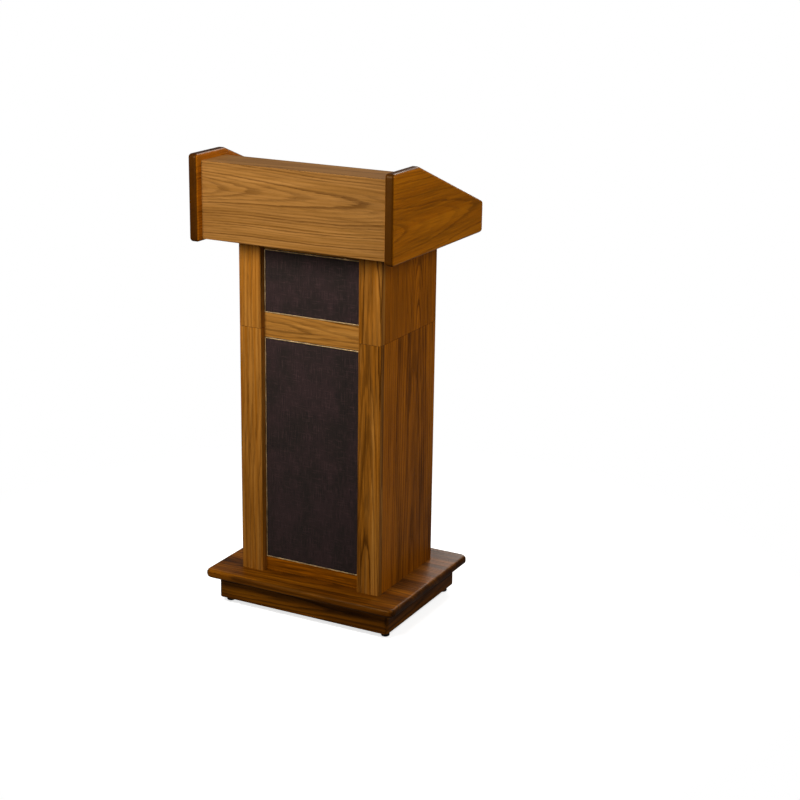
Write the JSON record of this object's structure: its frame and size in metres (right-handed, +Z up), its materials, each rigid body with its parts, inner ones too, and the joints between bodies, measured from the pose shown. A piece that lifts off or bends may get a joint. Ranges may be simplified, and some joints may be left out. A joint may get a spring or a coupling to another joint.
{
  "type": "standing pulpit",
  "caption": "Full-height wooden pulpit: sloped reading hood on a column with cloth grilles, stepped plinth and levelling glides; the upper unit lifts off.",
  "frame": {"origin": "on the floor under the middle of the pulpit's outline", "axes": "+Z up, -Y towards the audience, +X to the right as the audience sees it"},
  "size_m": [0.568, 0.492, 1.194],
  "materials": {
    "oak_panel": "walnut-stained oak, semi-gloss lacquer, grain level",
    "oak_hood": "walnut-stained oak, semi-gloss lacquer",
    "oak_desk": "walnut-stained oak, semi-gloss lacquer",
    "oak_column": "walnut-stained oak, semi-gloss lacquer, grain upright",
    "oak_rail": "walnut-stained oak, semi-gloss lacquer, grain level",
    "oak_plinth": "walnut-stained oak, semi-gloss lacquer, grain level",
    "shelf_board": "stained veneered board",
    "black_baffle": "black painted board",
    "frame_board": "black painted fibreboard",
    "softwood": "planed, unfinished",
    "grille_cloth": "dark purple-brown open weave",
    "gilt_bead": "dull gilt",
    "black_plastic": "black moulded",
    "zinc_steel": "zinc plated",
    "basket_steel": "black enamel",
    "ferrite": "grey ferrite",
    "cone_paper": "black treated paper"
  },
  "bodies": {
    "pedestal": {"plinth_board": "oak_plinth", "apron_front": "oak_plinth", "apron_back": "oak_plinth", "apron_left": "oak_plinth", "apron_right": "oak_plinth", "glide_inserts": "zinc_steel", "lower_stile_left": "oak_column", "lower_stile_right": "oak_column", "lower_side_left": "oak_column", "lower_side_right": "oak_column", "lower_bottom_rail": "oak_rail", "lower_top_rail": "oak_rail", "lower_top_deck": "shelf_board", "locating_dowels": "softwood", "lower_baffle": "black_baffle", "lower_back_rail": "oak_rail", "fixed_shelf": "shelf_board", "shelf_pins": "zinc_steel", "lower_peg_sockets": "black_plastic", "lower_driver_basket": "basket_steel", "lower_driver_magnet": "ferrite", "lower_driver_screws": "zinc_steel"},
    "upper_unit": {"upper_stile_left": "oak_column", "upper_stile_right": "oak_column", "upper_side_left": "oak_column", "upper_side_right": "oak_column", "upper_bottom_rail": "oak_rail", "upper_top_rail": "oak_rail", "upper_deck": "shelf_board", "upper_baffle": "black_baffle", "upper_peg_sockets": "black_plastic", "hood_cheek_left": "oak_hood", "hood_cheek_right": "oak_hood", "hood_front_panel": "oak_panel", "hood_cap_board": "oak_hood", "reading_desk": "oak_desk", "book_stop": "oak_desk", "hood_back_rail": "oak_hood", "hood_floor": "shelf_board", "hood_cleats": "softwood", "hood_screws": "zinc_steel", "upper_driver_basket": "basket_steel", "upper_driver_magnet": "ferrite", "upper_driver_screws": "zinc_steel"},
    "lower_grille": {"lower_grille_frame": "frame_board", "lower_grille_cloth": "grille_cloth", "lower_grille_bead": "gilt_bead", "lower_grille_pegs": "black_plastic"},
    "upper_grille": {"upper_grille_frame": "frame_board", "upper_grille_cloth": "grille_cloth", "upper_grille_bead": "gilt_bead", "upper_grille_pegs": "black_plastic"},
    "shelf": {"adjustable_shelf": "shelf_board"},
    "lower_cone": {"lower_driver_cone": "cone_paper"},
    "upper_cone": {"upper_driver_cone": "cone_paper"},
    "glide_front_left": {"glide_front_left": "black_plastic"},
    "glide_front_right": {"glide_front_right": "black_plastic"},
    "glide_back_left": {"glide_back_left": "black_plastic"},
    "glide_back_right": {"glide_back_right": "black_plastic"}
  },
  "joints": [
    {"name": "upper_unit_lift", "type": "slide", "parent": "pedestal", "child": "upper_unit", "axis": [0, 0, 1], "range_m": [0, 0.05]},
    {"name": "lower_grille_pull", "type": "slide", "parent": "pedestal", "child": "lower_grille", "axis": [0, -1, 0], "range_m": [0, 0.03]},
    {"name": "upper_grille_pull", "type": "slide", "parent": "upper_unit", "child": "upper_grille", "axis": [0, -1, 0], "range_m": [0, 0.03]},
    {"name": "shelf_slide", "type": "slide", "parent": "pedestal", "child": "shelf", "axis": [0, 1, 0], "range_m": [0, 0.2]},
    {"name": "lower_cone_travel", "type": "slide", "parent": "pedestal", "child": "lower_cone", "axis": [0, -1, 0], "range_m": [-0.002, 0.002], "stiffness_N_per_m": 1500},
    {"name": "upper_cone_travel", "type": "slide", "parent": "upper_unit", "child": "upper_cone", "axis": [0, -1, 0], "range_m": [-0.002, 0.002], "stiffness_N_per_m": 1500},
    {"name": "glide_front_left_screw", "type": "slide", "parent": "pedestal", "child": "glide_front_left", "axis": [0, 0, -1], "range_m": [0, 0.01]},
    {"name": "glide_front_right_screw", "type": "slide", "parent": "pedestal", "child": "glide_front_right", "axis": [0, 0, -1], "range_m": [0, 0.01]},
    {"name": "glide_back_left_screw", "type": "slide", "parent": "pedestal", "child": "glide_back_left", "axis": [0, 0, -1], "range_m": [0, 0.01]},
    {"name": "glide_back_right_screw", "type": "slide", "parent": "pedestal", "child": "glide_back_right", "axis": [0, 0, -1], "range_m": [0, 0.01]}
  ]
}
